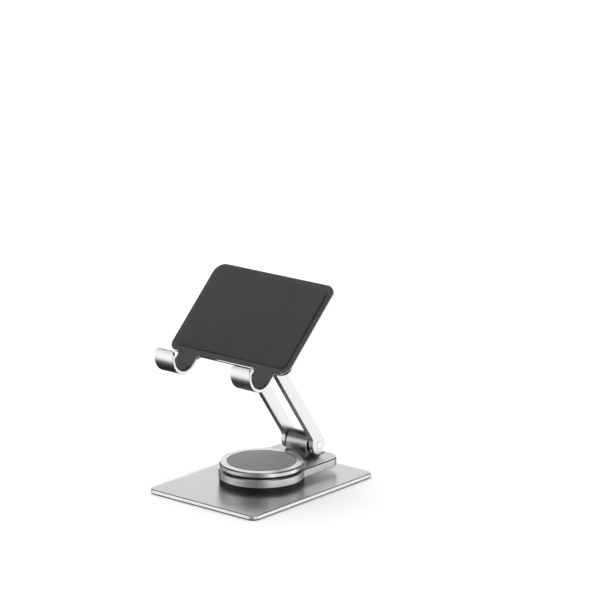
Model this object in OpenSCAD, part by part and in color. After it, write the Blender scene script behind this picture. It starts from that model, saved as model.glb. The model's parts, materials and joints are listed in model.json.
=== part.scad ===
// Folding tablet stand. A flat base plate carries a turntable, two arm plates
// rise from a hinge knuckle on the turntable's tab, and a cradle with two
// hooks tilts between the arms' upper ends.
//
// +Z is up, the front is -Y, and the origin is on the table under the
// turntable's axis.

/* [Base] */
// Width of the base plate, left to right
base_w = 90; // [80:1:110]
// Depth of the base plate, front to back
base_d = 120; // [112:1:150]
// Thickness of the base plate
base_t = 2.7; // [2.4:0.1:3.5]
// Radius of the base plate's corners
base_r = 5; // [3:0.5:12]
// Bevel around the base plate's edges
base_bevel = 0.4; // [0.2:0.1:0.8]
// Thickness of the anti-slip sheet under the plate
sheet_t = 0.5; // [0.5:0.1:1.2]
// How far the anti-slip sheet stays in from the plate's edges
sheet_inset = 1.5; // [1:0.5:4]

/* [Turntable] */
// Radius of the turning disc
disc_r = 28.2; // [27.5:0.1:31]
// Thickness of the turning disc and of its tab
disc_t = 5.7; // [4.5:0.1:7]
// Radius of the bearing ring under the disc
bearing_r = 27.7; // [25:0.1:28]
// Height of the bearing ring
bearing_t = 3.2; // [3:0.1:5]
// Radius of the fixed cap above the disc
cap_r = 27.7; // [26:0.1:28]
// Thickness of the cap
cap_t = 3.3; // [2.8:0.1:4]
// Radius of the silicone pad set in the cap
pad_r = 22.2; // [18:0.2:24]
// Depth of the pad's recess in the cap
pad_t = 1; // [0.8:0.1:1.2]
// Width of the tab that carries the hinge
tab_w = 49.2; // [40:0.4:54]
// How far behind the turning axis the tab ends
tab_back = 53.4; // [52:0.2:58]
// Radius of the tab's back corners
tab_r = 11; // [4:0.5:14]

/* [Arms] */
// How far behind the turning axis the lower hinge is
knee_y = 41.8; // [41:0.1:43]
// Height of the lower hinge axis above the table
knee_z = 19.9; // [19.8:0.1:22]
// Distance between the two hinge axes
arm_len = 94; // [90:1:110]
// Lean of the arms above the horizontal, towards the front
arm_lean = 54.6; // [50:0.1:75]
// Overall width across the two arm plates
arms_w = 27.4; // [26:0.2:32]
// Thickness of one arm plate
arm_t = 3.8; // [3:0.1:4]
// Radius of the round ends of the arm plates
eye_r = 6.5; // [6:0.1:7]
// Reach of the arm plate's straight part in front of the hinge axes
arm_front = 2.5; // [2:0.1:4]
// Radius of the hinge knuckle between the arm plates
knuckle_r = 7.2; // [6.5:0.1:7.4]

/* [Cradle] */
// Tilt of the cradle above the horizontal
cradle_tilt = 43.8; // [35:0.1:70]
// Width of the cradle plate
cradle_w = 100; // [96:1:140]
// Thickness of the cradle plate and its hooks
cradle_t = 2.2; // [1.8:0.1:2.5]
// Reach of the cradle plate above the upper hinge
cradle_up = 49; // [40:1:80]
// Reach of the cradle plate below the upper hinge
cradle_down = 20; // [18:0.5:22]
// Distance from the upper hinge axis to the cradle's front face
cradle_face = 10.5; // [10.2:0.1:14]
// Radius of the cradle plate's corners
cradle_r = 8; // [3:0.5:14]
// Thickness of the silicone sheet on the cradle
rest_pad_t = 1.2; // [0.8:0.1:2]
// Distance between the middles of the two hooks
hook_pitch = 64; // [50:1:78]
// Width of each hook
hook_w = 16; // [10:0.5:20]
// Inner radius of the hooks' curl
hook_r = 9.7; // [8:0.1:13]
// Angle that each hook curls through
hook_wrap = 162; // [120:1:175]
// Distance from the upper hinge down to where the hooks start to curl
hook_drop = 27.1; // [25:0.1:30]
// Thickness of the silicone liner in each hook
liner_t = 1.4; // [1:0.1:2]

/* [Hidden] */
$fn = 96;

// Heights of the stack from the table up
plate_z = sheet_t;
plate_top = plate_z + base_t;
disc_z = plate_top + bearing_t;
disc_top = disc_z + disc_t;
slip_t = 1.2;
cap_z = disc_top + slip_t + 0.1;
cap_top = cap_z + cap_t;

// Clearances: between turning faces, on a turning shaft, and around screws
face_gap = 0.05;
run_gap = 0.05;
screw_gap = 0.05;
// Length by which a cut runs past the face it opens
past = 1;

// Hub, its bush and the spring that presses the cap's slip ring down
hub_r = 9;
hub_flange_r = 15;
hub_flange_t = 2.6;
bush_wall = 1.5;
bearing_inner_r = 17;
slip_inner_r = 16;
slip_r = cap_r - 3;
spring_t = 0.4;
spring_r = 15;
// Gap all round the pad in its recess
pad_gap = 0.4;

// Screws: shank and head radii, lengths and circles
hub_screw_r = 1.45;
hub_screw_head_r = 2.8;
hub_screw_len = 6;
hub_screw_circle = 5.5;
ring_screw_r = 1.2;
ring_screw_head_r = 2.2;
ring_screw_len = 5;
ring_screw_circle = 22;
cap_screw_len = 5.5;
block_screw_len = 6;
block_screw_x = 4.8;
block_screw_y = 12.5;
screws_per_ring = 3;

// Hinges: axle, bush flange and friction clip
arm_out = arms_w / 2;
arm_in = arm_out - arm_t;
axle_r = 3;
axle_end_r = 2.3;
axle_dome = 0.15;
// How far the arm plate's straight edges stay inside its round ends
eye_step = 0.05;
knuckle_half = 8.6;
hinge_bore_r = 4.5;
flange_r = 5;
hinge_bush_len = 3.6;
clip_gap = 0.1;
clip_slit = 1.2;

// Neck that carries the knuckle, the coves that blend it into the tab, and the
// hollow ramp that runs down from its front to the disc, just under the cap
neck_front = knee_y - 6.6;
neck_back = knee_y + 6.8;
neck_lip_z = knee_z - 4.2;
cove_r = 3;
ramp_r = 15;
ramp_start = 27;
ramp_top = neck_lip_z - 0.4;
ramp_rise = ramp_top - disc_top;
ramp_foot = neck_front - sqrt(2 * ramp_r * ramp_rise - ramp_rise ^ 2);

// Upper hinge, placed by the arms' lean
head_y = knee_y - arm_len * cos(arm_lean);
head_z = knee_z + arm_len * sin(arm_lean);
block_r = 6.5;
block_flange_half = 17;
block_flange_t = 3;
cradle_back = cradle_face - cradle_t;
hook_centre = cradle_face + hook_r;
cradle_bevel = 0.3;
hook_tip_r = 3;
pad_margin = 4;
liner_side = 1;
liner_start = 8;
liner_end = 14;

// ---------- helpers ----------

// Flat outline with round corners, centred on the origin
module round_rect(w, d, r) {
    square([w - 2 * r, d], center = true);
    square([w, d - 2 * r], center = true);
    for (x = [-1, 1], y = [-1, 1])
        translate([x * (w / 2 - r), y * (d / 2 - r)])
            circle(r);
}

// Section of a plate, resting on the x axis, with its four edges bevelled
module bevelled_section(w, t, bevel) {
    half = w / 2;
    polygon([
        [-half + bevel, 0], [half - bevel, 0], [half, bevel], [half, t - bevel],
        [half - bevel, t], [-half + bevel, t], [-half, t - bevel], [-half, bevel]
    ]);
}

// Slab with round corners and a bevel along its top and bottom edges
module bevelled_slab(w, d, t, r, bevel) {
    rotate([90, 0, 0])
        linear_extrude(d - 2 * r, center = true)
            bevelled_section(w, t, bevel);
    rotate([90, 0, 90])
        linear_extrude(w - 2 * r, center = true)
            bevelled_section(d, t, bevel);
    for (x = [-1, 1], y = [-1, 1])
        translate([x * (w / 2 - r), y * (d / 2 - r), 0])
            ring(0, r, t, bevel);
}

// Solid ring around the vertical axis, with a bevel on its outer edges
module ring(inner, outer, t, bevel = 0) {
    rotate_extrude()
        polygon([
            [inner, 0], [outer - bevel, 0], [outer, bevel],
            [outer, t - bevel], [outer - bevel, t], [inner, t]
        ]);
}

// Countersunk screw, head down on the origin's plane, shank pointing up
module flat_screw(shank, head, length) {
    difference() {
        union() {
            cylinder(h = length, r = shank);
            cylinder(h = head - shank, r1 = head, r2 = shank);
        }
        translate([0, 0, -past])
            cylinder(h = past + head - shank, r = shank * 0.8, $fn = 6);
    }
}

// Room that a countersunk screw needs
module flat_screw_hole(shank, head, length) {
    translate([0, 0, -past])
        cylinder(h = length + past, r = shank + screw_gap);
    cylinder(h = head - shank, r1 = head + screw_gap, r2 = shank + screw_gap);
    translate([0, 0, -past])
        cylinder(h = past, r = head + screw_gap);
}

// Children repeated evenly around the turning axis
module around(radius, start = 0) {
    for (i = [0 : screws_per_ring - 1])
        rotate(start + i * 360 / screws_per_ring)
            translate([radius, 0, 0])
                children();
}

// Side outline drawn in (Y, Z), extruded along X between two planes
module across(x0, x1) {
    translate([x0, 0, 0])
        rotate([90, 0, 90])
            linear_extrude(x1 - x0)
                children();
}

// Shaft along X between two planes
module shaft(x0, x1, r) {
    translate([x0, 0, 0])
        rotate([0, 90, 0])
            cylinder(h = x1 - x0, r = r);
}

// Moves children to one of the hinge axes
module at_knee() {
    translate([0, knee_y, knee_z])
        children();
}

module at_head() {
    translate([0, head_y, head_z])
        children();
}

// The cradle's own frame: origin on the upper axis, +Y up the plate, +Z out of its front
module in_cradle() {
    at_head()
        rotate([cradle_tilt, 0, 0])
            children();
}

// ---------- base ----------

module base_plate() {
    color("gainsboro")
        difference() {
            translate([0, 0, plate_z])
                bevelled_slab(base_w, base_d, base_t, base_r, base_bevel);
            translate([0, 0, plate_z]) {
                around(hub_screw_circle)
                    flat_screw_hole(hub_screw_r, hub_screw_head_r, base_t + past);
                around(ring_screw_circle)
                    flat_screw_hole(ring_screw_r, ring_screw_head_r, base_t + past);
            }
        }
}

module base_sheet() {
    color("dimgray")
        linear_extrude(sheet_t)
            round_rect(base_w - 2 * sheet_inset, base_d - 2 * sheet_inset, base_r - sheet_inset);
}

module bearing_ring() {
    color("black")
        difference() {
            translate([0, 0, plate_top])
                ring(bearing_inner_r, bearing_r, bearing_t - face_gap, 0.4);
            translate([0, 0, plate_z])
                around(ring_screw_circle)
                    cylinder(h = ring_screw_len + 0.2, r = ring_screw_r + screw_gap);
        }
}

module ring_screws() {
    color("silver")
        translate([0, 0, plate_z])
            around(ring_screw_circle)
                flat_screw(ring_screw_r, ring_screw_head_r, ring_screw_len);
}

module hub() {
    color("silver")
        difference() {
            union() {
                translate([0, 0, plate_top])
                    cylinder(h = hub_flange_t, r = hub_flange_r);
                translate([0, 0, plate_top])
                    cylinder(h = cap_z - plate_top, r = hub_r);
            }
            translate([0, 0, plate_z])
                around(hub_screw_circle)
                    cylinder(h = hub_screw_len + 0.2, r = hub_screw_r + screw_gap);
            translate([0, 0, cap_top - pad_t - cap_screw_len - 0.2])
                around(hub_screw_circle, 60)
                    cylinder(h = cap_screw_len, r = hub_screw_r + screw_gap);
        }
}

module hub_screws() {
    color("silver")
        translate([0, 0, plate_z])
            around(hub_screw_circle)
                flat_screw(hub_screw_r, hub_screw_head_r, hub_screw_len);
}

module slip_ring() {
    color("black")
        translate([0, 0, cap_z - slip_t])
            ring(slip_inner_r, slip_r, slip_t);
}

module disc_spring() {
    inner = hub_r + 0.3;
    low = disc_top + face_gap;
    high = cap_z - spring_t - face_gap;
    color("silver")
        rotate_extrude()
            polygon([[inner, high], [spring_r, low], [spring_r, low + spring_t], [inner, high + spring_t]]);
}

module cap() {
    floor_t = cap_t - pad_t;
    bevel = 0.8;
    color("lightgray")
        difference() {
            translate([0, 0, cap_z])
                rotate_extrude()
                    polygon([
                        [0, 0], [cap_r - 0.4, 0], [cap_r, 0.4], [cap_r, cap_t - bevel], [cap_r - bevel, cap_t],
                        [pad_r + pad_gap, cap_t], [pad_r + pad_gap, floor_t], [0, floor_t]
                    ]);
            translate([0, 0, cap_top - pad_t])
                around(hub_screw_circle, 60)
                    mirror([0, 0, 1])
                        flat_screw_hole(hub_screw_r, hub_screw_head_r, cap_t);
        }
}

module cap_screws() {
    color("silver")
        translate([0, 0, cap_top - pad_t])
            around(hub_screw_circle, 60)
                mirror([0, 0, 1])
                    flat_screw(hub_screw_r, hub_screw_head_r, cap_screw_len);
}

module cap_pad() {
    color("gray")
        translate([0, 0, cap_top - pad_t])
            cylinder(h = pad_t, r = pad_r);
}

// ---------- turntable ----------

// Side outline of the neck and its ramp, in (Y, Z)
module neck_outline() {
    translate([neck_front, disc_top - past])
        square([neck_back - neck_front, neck_lip_z - disc_top + 2 * past]);
    difference() {
        translate([ramp_start, disc_top - past])
            square([neck_front - ramp_start + past, ramp_rise + past]);
        translate([ramp_foot, disc_top + ramp_r])
            circle(ramp_r);
    }
}

// Side outline of the knuckle, down to the lip above its neck, in (Y, Z)
module knuckle_outline() {
    translate([knee_y, knee_z])
        circle(knuckle_r);
    translate([knee_y - knuckle_r, neck_lip_z])
        square([2 * knuckle_r, knee_z - neck_lip_z]);
}

// Hollow corner between a wall and the tab's top
module cove_outline() {
    difference() {
        translate([-past / 2, -past / 2])
            square(cove_r + past / 2);
        translate([cove_r, cove_r])
            circle(cove_r);
    }
}

// Straight cove that runs from the origin towards -Y
module straight_cove(length) {
    rotate([90, 0, 0])
        linear_extrude(length)
            cove_outline();
}

// Coves along both sides of the neck, cut off at its ramp, and round its back
module neck_coves() {
    reach = knuckle_half + cove_r;
    intersection() {
        for (side = [0, 1])
            mirror([side, 0, 0])
                translate([knuckle_half, neck_back, disc_top])
                    straight_cove(neck_back - ramp_start);
        across(-reach, reach)
            neck_outline();
    }
    translate([0, neck_back, disc_top])
        rotate(90)
            translate([0, knuckle_half, 0])
                straight_cove(2 * knuckle_half);
    for (side = [0, 1])
        mirror([side, 0, 0])
            translate([knuckle_half, neck_back, disc_top])
                rotate_extrude(angle = 90)
                    intersection() {
                        cove_outline();
                        square(cove_r);
                    }
}

module turntable() {
    color("silver")
        difference() {
            union() {
                translate([0, 0, disc_z])
                    ring(0, disc_r, disc_t, 0.5);
                translate([0, tab_back / 2, disc_z])
                    bevelled_slab(tab_w, tab_back, disc_t, tab_r, 0.6);
                across(-knuckle_half, knuckle_half) {
                    knuckle_outline();
                    neck_outline();
                }
                neck_coves();
            }
            translate([0, 0, disc_z - past])
                cylinder(h = disc_t + 2 * past, r = hub_r + run_gap + bush_wall);
            at_knee()
                shaft(-knuckle_half - past, knuckle_half + past, hinge_bore_r);
        }
}

module hub_bush() {
    color("black")
        translate([0, 0, disc_z])
            ring(hub_r + run_gap, hub_r + run_gap + bush_wall, disc_t);
}

// Two flanged bushes that run on an axle and keep the arms off the knuckle
module hinge_bushes() {
    for (side = [0, 1])
        mirror([side, 0, 0])
            difference() {
                union() {
                    shaft(knuckle_half - hinge_bush_len, knuckle_half, hinge_bore_r);
                    shaft(knuckle_half, arm_in - face_gap, flange_r);
                }
                shaft(0, arm_out, axle_r + run_gap);
            }
}

// Slit spring clip that grips the axle and gives the hinge its friction
module hinge_clip() {
    half = knuckle_half - hinge_bush_len - clip_gap;
    difference() {
        shaft(-half, half, hinge_bore_r);
        shaft(-half - past, half + past, axle_r + run_gap);
        translate([-half - past, -clip_slit / 2, 0])
            cube([2 * (half + past), clip_slit, hinge_bore_r + past]);
    }
}

module knee_bushes() {
    color("black")
        at_knee()
            hinge_bushes();
}

module knee_clip() {
    color("silver")
        at_knee()
            hinge_clip();
}

// ---------- arms ----------

// Arm plate along +X from the lower axis, with its front edge towards +Y. Its
// straight edges leave the round ends almost along a tangent.
module arm_outline() {
    reach = eye_r - eye_step;
    tangent = reach * [cos(arm_lean), sin(arm_lean)];
    corner = (reach - arm_front * sin(arm_lean)) / cos(arm_lean);
    circle(eye_r);
    translate([arm_len, 0])
        circle(eye_r);
    polygon([
        [0, 0], [0, -reach], [arm_len, -reach], [arm_len, 0], [arm_len - tangent.x, tangent.y],
        [arm_len - corner, arm_front], [corner, arm_front], tangent
    ]);
}

module arm_plate(x0) {
    difference() {
        at_knee()
            across(x0, x0 + arm_t)
                rotate(180 - arm_lean)
                    arm_outline();
        at_knee()
            shaft(-arm_out - past, arm_out + past, axle_end_r);
        at_head()
            shaft(-arm_out - past, arm_out + past, axle_end_r);
    }
}

module arm_left() {
    color("silver")
        arm_plate(-arm_out);
}

module arm_right() {
    color("silver")
        arm_plate(arm_in);
}

// Axle that shoulders against the arm plates and ends flush in them
module axle() {
    shaft(-arm_in, arm_in, axle_r);
    shaft(-arm_out, arm_out, axle_end_r);
    for (side = [0, 1])
        mirror([side, 0, 0])
            translate([arm_out, 0, 0])
                rotate([0, 90, 0])
                    cylinder(h = axle_dome, r1 = axle_end_r, r2 = axle_end_r - axle_dome);
}

module knee_axle() {
    color("lightgray")
        at_knee()
            axle();
}

module head_axle() {
    color("lightgray")
        at_head()
            axle();
}

// ---------- cradle ----------

// Places children at the four block screws, heads towards the cradle's front
module at_block_screws() {
    for (x = [-1, 1], y = [-1, 1])
        translate([x * block_screw_x, y * block_screw_y, cradle_face])
            mirror([0, 0, 1])
                children();
}

module head_block() {
    color("silver")
        in_cradle()
            difference() {
                across(-knuckle_half, knuckle_half) {
                    circle(block_r);
                    translate([-block_r, 0])
                        square([2 * block_r, cradle_back]);
                    translate([-block_flange_half, cradle_back - block_flange_t])
                        square([2 * block_flange_half, block_flange_t]);
                }
                shaft(-knuckle_half - past, knuckle_half + past, hinge_bore_r);
                at_block_screws()
                    cylinder(h = block_screw_len + past, r = hub_screw_r + screw_gap);
            }
}

module head_bushes() {
    color("black")
        in_cradle()
            hinge_bushes();
}

module head_clip() {
    color("silver")
        in_cradle()
            mirror([0, 0, 1])
                hinge_clip();
}

module block_screws() {
    color("silver")
        in_cradle()
            at_block_screws()
                flat_screw(hub_screw_r, hub_screw_head_r, block_screw_len - 1);
}

// Curled strip of one hook, centred on x = 0, from the plate's lower edge to its tip
module hook() {
    translate([0, past - cradle_down, cradle_back])
        rotate([90, 0, 0])
            linear_extrude(hook_drop - cradle_down + past)
                bevelled_section(hook_w, cradle_t, cradle_bevel);
    translate([0, -hook_drop, hook_centre])
        difference() {
            rotate([90, 180, 90])
                rotate_extrude(angle = hook_wrap, start = 90 - hook_wrap)
                    translate([hook_r, 0])
                        rotate(-90)
                            bevelled_section(hook_w, cradle_t, cradle_bevel);
            rotate([-hook_wrap, 0, 0])
                hook_tip_corners(hook_w / 2, hook_r + cradle_t);
        }
}

// Cuts that round the two corners of a tip that ends on the plane y = 0
module hook_tip_corners(half, outer) {
    for (side = [0, 1])
        mirror([side, 0, 0])
            translate([half - hook_tip_r, -past, -outer - past])
                difference() {
                    cube([hook_tip_r + past, hook_tip_r + past, outer]);
                    translate([0, hook_tip_r + past, -past])
                        cylinder(h = outer + 2 * past, r = hook_tip_r);
                }
}

module cradle() {
    color("silver")
        in_cradle()
            difference() {
                union() {
                    translate([0, (cradle_up - cradle_down) / 2, cradle_back])
                        bevelled_slab(cradle_w, cradle_up + cradle_down, cradle_t, cradle_r, cradle_bevel);
                    for (side = [-1, 1])
                        translate([side * hook_pitch / 2, 0, 0])
                            hook();
                }
                at_block_screws()
                    flat_screw_hole(hub_screw_r, hub_screw_head_r, cradle_t + past);
            }
}

module rest_pad() {
    w = cradle_w - 2 * pad_margin;
    d = cradle_up + cradle_down - 2 * pad_margin;
    color("dimgray")
        in_cradle()
            translate([0, (cradle_up - cradle_down) / 2, cradle_face])
                linear_extrude(rest_pad_t)
                    round_rect(w, d, cradle_r - pad_margin);
}

// Silicone liner that follows the inside of a hook's curl
module hook_liner(side) {
    half = hook_w / 2 - liner_side;
    color("dimgray")
        in_cradle()
            translate([side * hook_pitch / 2, -hook_drop, hook_centre])
                rotate([90, 180, 90])
                    rotate_extrude(angle = hook_wrap - liner_start - liner_end, start = 90 - hook_wrap + liner_end)
                        translate([hook_r - liner_t, -half])
                            square([liner_t, 2 * half]);
}

module hook_liner_left() {
    hook_liner(-1);
}

module hook_liner_right() {
    hook_liner(1);
}

base_plate();
base_sheet();
bearing_ring();
ring_screws();
hub();
hub_screws();
slip_ring();
disc_spring();
cap();
cap_screws();
cap_pad();
turntable();
hub_bush();
knee_bushes();
knee_clip();
arm_left();
arm_right();
knee_axle();
head_axle();
head_block();
head_bushes();
head_clip();
block_screws();
cradle();
rest_pad();
hook_liner_left();
hook_liner_right();
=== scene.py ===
"""Looks of a folding aluminium tablet stand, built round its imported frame.

The stand is a flat base plate, a turntable with a hinge knuckle on its tab,
two leaning arm plates and a tilting cradle with two lined hooks. Each
sub-assembly is a class that makes its own meshes in the frame's metres and
dresses the frame's nodes that show as they are.
"""

import json
import logging
import math
from collections.abc import Sequence
from dataclasses import dataclass, field
from enum import Enum

import bmesh
import bpy
from mathutils import Matrix, Vector

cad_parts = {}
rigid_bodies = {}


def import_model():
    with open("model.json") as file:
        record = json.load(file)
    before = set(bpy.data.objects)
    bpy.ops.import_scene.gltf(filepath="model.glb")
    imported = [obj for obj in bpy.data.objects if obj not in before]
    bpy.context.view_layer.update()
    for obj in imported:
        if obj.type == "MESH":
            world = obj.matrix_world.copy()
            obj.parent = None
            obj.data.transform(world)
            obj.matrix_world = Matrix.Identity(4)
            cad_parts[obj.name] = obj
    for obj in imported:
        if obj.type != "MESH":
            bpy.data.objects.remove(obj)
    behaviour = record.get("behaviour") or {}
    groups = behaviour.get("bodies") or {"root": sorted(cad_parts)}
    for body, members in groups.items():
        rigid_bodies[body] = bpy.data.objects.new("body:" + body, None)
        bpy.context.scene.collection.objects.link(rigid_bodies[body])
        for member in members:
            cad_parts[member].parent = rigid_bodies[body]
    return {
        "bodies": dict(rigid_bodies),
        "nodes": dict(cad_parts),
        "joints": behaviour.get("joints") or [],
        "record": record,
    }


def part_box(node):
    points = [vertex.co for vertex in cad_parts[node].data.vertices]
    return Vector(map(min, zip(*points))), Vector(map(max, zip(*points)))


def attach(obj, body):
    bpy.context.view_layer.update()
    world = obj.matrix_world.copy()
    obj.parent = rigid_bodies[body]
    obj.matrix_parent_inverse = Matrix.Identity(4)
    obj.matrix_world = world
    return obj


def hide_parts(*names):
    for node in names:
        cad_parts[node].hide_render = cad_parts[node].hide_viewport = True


LOG = logging.getLogger("tablet_stand")
MM = 0.001

# Largest turn between two points of an arc, and the angle from which an edge is shaded sharp
ARC_STEP = math.radians(5)
SHARP_EDGE = math.radians(28)
# Points round a turned part, and round a drill
TURNED_STEPS = 144
DRILL_STEPS = 72
# Turns, in degrees, at which a rolled edge gets a ring of points
ROLL_TURNS = (0, 25, 50, 70, 90)
# Keeps the points of a very sharp corner from running far out when its outline is moved
LEAST_LEAN = 0.3
# How near, in metres, a point counts as on the plane of a cut
CUT_TOLERANCE = 1e-7
# Turns a side outline drawn in (y, z) and raised along its own z into one raised along X
ACROSS = Matrix(((0, 0, 1, 0), (1, 0, 0, 0), (0, 1, 0, 0), (0, 0, 0, 1)))
ORIGIN = Vector((0, 0, 0))
UPRIGHT = Vector((0, 0, 1))
SIDEWAYS = Vector((1, 0, 0))

Span = tuple[float, float]
# Stretches of a noise pattern: its middle, and nearly all of it
MIDDLE: Span = (0.35, 0.65)
WIDE: Span = (0.3, 0.7)
# Places of the colour sockets on a mix node, whose names other kinds of value share
MIX_FIRST, MIX_SECOND, MIX_RESULT = 6, 7, 2


class Slot(Enum):
    """Material slots of the record, named for each piece as it is installed."""

    SATIN = "satin_aluminium"
    TURNED = "turned_aluminium"
    ACETAL = "black_acetal"
    GREY_SILICONE = "grey_silicone"
    DARK_SILICONE = "dark_silicone"


class Surface(Enum):
    """Which of a piece's finishes a face takes."""

    MAIN = 0
    EDGE = 1
    # Faces of the knuckle, whose darker finish is painted shade
    KNUCKLE_PAINTED_SHADE = 2
    # Faces of the neck and ramp, whose darker finish is painted shade
    NECK_PAINTED_SHADE = 3


class Cut(Enum):
    """What a tool does to the piece it meets."""

    ADD = "UNION"
    TAKE_AWAY = "DIFFERENCE"


# ---------- outlines ----------


def arc(centre: Vector, radius: float, start: float, end: float) -> list[Vector]:
    """Points along an arc, both ends included.

    Args:
        centre: Middle of the arc.
        radius: Radius of the arc.
        start: Angle of the first point, in degrees.
        end: Angle of the last point, in degrees.

    Returns:
        The points, in order.
    """
    turn = math.radians(end - start)
    steps = max(2, math.ceil(abs(turn) / ARC_STEP))
    angles = [math.radians(start) + turn * i / steps for i in range(steps + 1)]
    return [centre + radius * Vector((math.cos(a), math.sin(a))) for a in angles]


def round_corners(corners: Sequence[tuple[float, float, float]]) -> list[Vector]:
    """Outline through corners, each rounded by its own radius.

    Args:
        corners: (x, y, radius) of each corner, counter-clockwise; radius 0 keeps it sharp.

    Returns:
        The outline's points, counter-clockwise.
    """
    outline: list[Vector] = []
    for i, (x, y, radius) in enumerate(corners):
        here = Vector((x, y))
        if radius == 0:
            outline.append(here)
            continue
        before = (Vector(corners[i - 1][:2]) - here).normalized()
        after = (Vector(corners[(i + 1) % len(corners)][:2]) - here).normalized()
        half = math.acos(max(-1.0, min(1.0, before.dot(after)))) / 2
        centre = here + (before + after).normalized() * radius / math.sin(half)
        first = here + before * radius / math.tan(half) - centre
        last = here + after * radius / math.tan(half) - centre
        turn = -first.angle_signed(last)
        steps = max(2, math.ceil(abs(turn) / ARC_STEP))
        for k in range(steps + 1):
            outline.append(centre + Matrix.Rotation(turn * k / steps, 2) @ first)
    return outline


def round_rectangle(low: Vector, high: Vector, radius: float) -> list[Vector]:
    """Counter-clockwise outline of a rectangle between two corners, all its corners round."""
    places = ((high.x, low.y), (high.x, high.y), (low.x, high.y), (low.x, low.y))
    return round_corners([(x, y, radius) for x, y in places])


def inset(outline: Sequence[Vector], by: float) -> list[Vector]:
    """Outline moved inwards by the same distance all round.

    Args:
        outline: Points, counter-clockwise.
        by: Distance to move each side; negative moves it out.

    Returns:
        As many points as the outline has.
    """
    moved = []
    for i, here in enumerate(outline):
        along = (here - outline[i - 1]).normalized()
        onward = (outline[(i + 1) % len(outline)] - here).normalized()
        inward = Vector((-along.y - onward.y, along.x + onward.x)).normalized()
        lean = inward.dot(Vector((-along.y, along.x)))
        moved.append(here + inward * by / max(lean, LEAST_LEAN))
    return moved


# ---------- meshes ----------


def lay(outline: Sequence[Vector], height: float) -> list[Vector]:
    """The outline's points, raised to one height."""
    return [Vector((p.x, p.y, height)) for p in outline]


def skin(
    rings: Sequence[Sequence[Vector]],
    bands: Sequence[Surface] = (),
    closed: bool = False,
) -> bmesh.types.BMesh:
    """Closed mesh drawn over rings of equal size.

    Args:
        rings: Loops of points, counter-clockwise, from the bottom up.
        bands: Finish of each band between two rings; MAIN where it is left out.
        closed: Joins the last ring to the first instead of capping both.

    Returns:
        The new mesh.
    """
    mesh = bmesh.new()
    loops = [[mesh.verts.new(p) for p in ring] for ring in rings]
    count = len(loops[0])
    last = len(loops) if closed else len(loops) - 1
    for i in range(last):
        low, high = loops[i], loops[(i + 1) % len(loops)]
        surface = bands[i] if i < len(bands) else Surface.MAIN
        for k in range(count):
            face = mesh.faces.new((low[k - 1], low[k], high[k], high[k - 1]))
            face.material_index = surface.value
    if not closed:
        mesh.faces.new(reversed(loops[0]))
        mesh.faces.new(loops[-1])
    bmesh.ops.recalc_face_normals(mesh, faces=mesh.faces)
    return mesh


def bevelled_plate(
    outline: Sequence[Vector], low: float, high: float, bevel: float
) -> bmesh.types.BMesh:
    """Flat plate with a bevel along its top and bottom edges.

    Args:
        outline: The plate's widest outline.
        low: Height of its underside.
        high: Height of its top.
        bevel: Width of the bevels.

    Returns:
        The new mesh, its bevels in the edge finish.
    """
    narrow = inset(outline, bevel)
    rings = [
        lay(narrow, low),
        lay(outline, low + bevel),
        lay(outline, high - bevel),
        lay(narrow, high),
    ]
    return skin(rings, (Surface.EDGE, Surface.MAIN, Surface.EDGE))


def soft_sheet(
    outline: Sequence[Vector], low: float, high: float, rounding: float
) -> bmesh.types.BMesh:
    """Moulded sheet whose top edge is rolled over.

    Args:
        outline: The sheet's widest outline.
        low: Height of its underside.
        high: Height of its top.
        rounding: Radius of the rolled edge.

    Returns:
        The new mesh.
    """
    rings = [lay(outline, low)]
    for turn in ROLL_TURNS:
        angle = math.radians(turn)
        narrow = inset(outline, rounding * (1 - math.cos(angle)))
        rings.append(lay(narrow, high - rounding * (1 - math.sin(angle))))
    return skin(rings)


def turned(
    profile: Sequence[tuple[float, float]],
    bands: Sequence[Surface] = (),
    closed: bool = False,
    steps: int = TURNED_STEPS,
) -> bmesh.types.BMesh:
    """Part turned round the Z axis.

    Args:
        profile: (radius, height) of each ring, from the bottom up.
        bands: Finish of each band between two rings.
        closed: True for a part with a hole through it.
        steps: Points in a full turn.

    Returns:
        The new mesh.
    """
    turn = 2 * math.pi / steps
    unit = [Vector((math.cos(turn * i), math.sin(turn * i))) for i in range(steps)]
    rings = [lay([p * radius for p in unit], height) for radius, height in profile]
    return skin(rings, bands, closed)


def make_piece(
    name: str, mesh: bmesh.types.BMesh, finishes: Sequence[bpy.types.Material]
) -> bpy.types.Object:
    """Object made of a mesh, with crisp edges and smooth curves.

    Args:
        name: The piece's name.
        mesh: The mesh, which is used up.
        finishes: Its finishes, in the order of Surface.

    Returns:
        The new object, linked to the scene.
    """
    data = bpy.data.meshes.new(name)
    mesh.to_mesh(data)
    mesh.free()
    for finish in finishes:
        data.materials.append(finish)
    shade(data)
    piece = bpy.data.objects.new(name, data)
    bpy.context.scene.collection.objects.link(piece)
    return piece


def shade(data: bpy.types.Mesh) -> None:
    """Shades a mesh smooth, with sharp edges where its faces meet at an angle."""
    data.polygons.foreach_set("use_smooth", [True] * len(data.polygons))
    data.set_sharp_from_angle(angle=SHARP_EDGE)


def settle(piece: bpy.types.Object) -> None:
    """Turns a piece's modifiers into plain mesh.

    Args:
        piece: The piece, whose modifiers are used up.
    """
    graph = bpy.context.evaluated_depsgraph_get()
    data = bpy.data.meshes.new_from_object(piece.evaluated_get(graph))
    piece.modifiers.clear()
    data.name = piece.name
    piece.data = data


def work(piece: bpy.types.Object, tool: bpy.types.Object, cut: Cut) -> None:
    """Adds a tool's solid to a piece or takes it away, and removes the tool.

    Args:
        piece: The piece that is worked on.
        tool: The solid that meets it.
        cut: What the tool does.
    """
    step = piece.modifiers.new("work", "BOOLEAN")
    step.object = tool
    step.operation = cut.value
    step.solver = "EXACT"
    settle(piece)
    bpy.data.objects.remove(tool)
    shade(piece.data)


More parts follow.
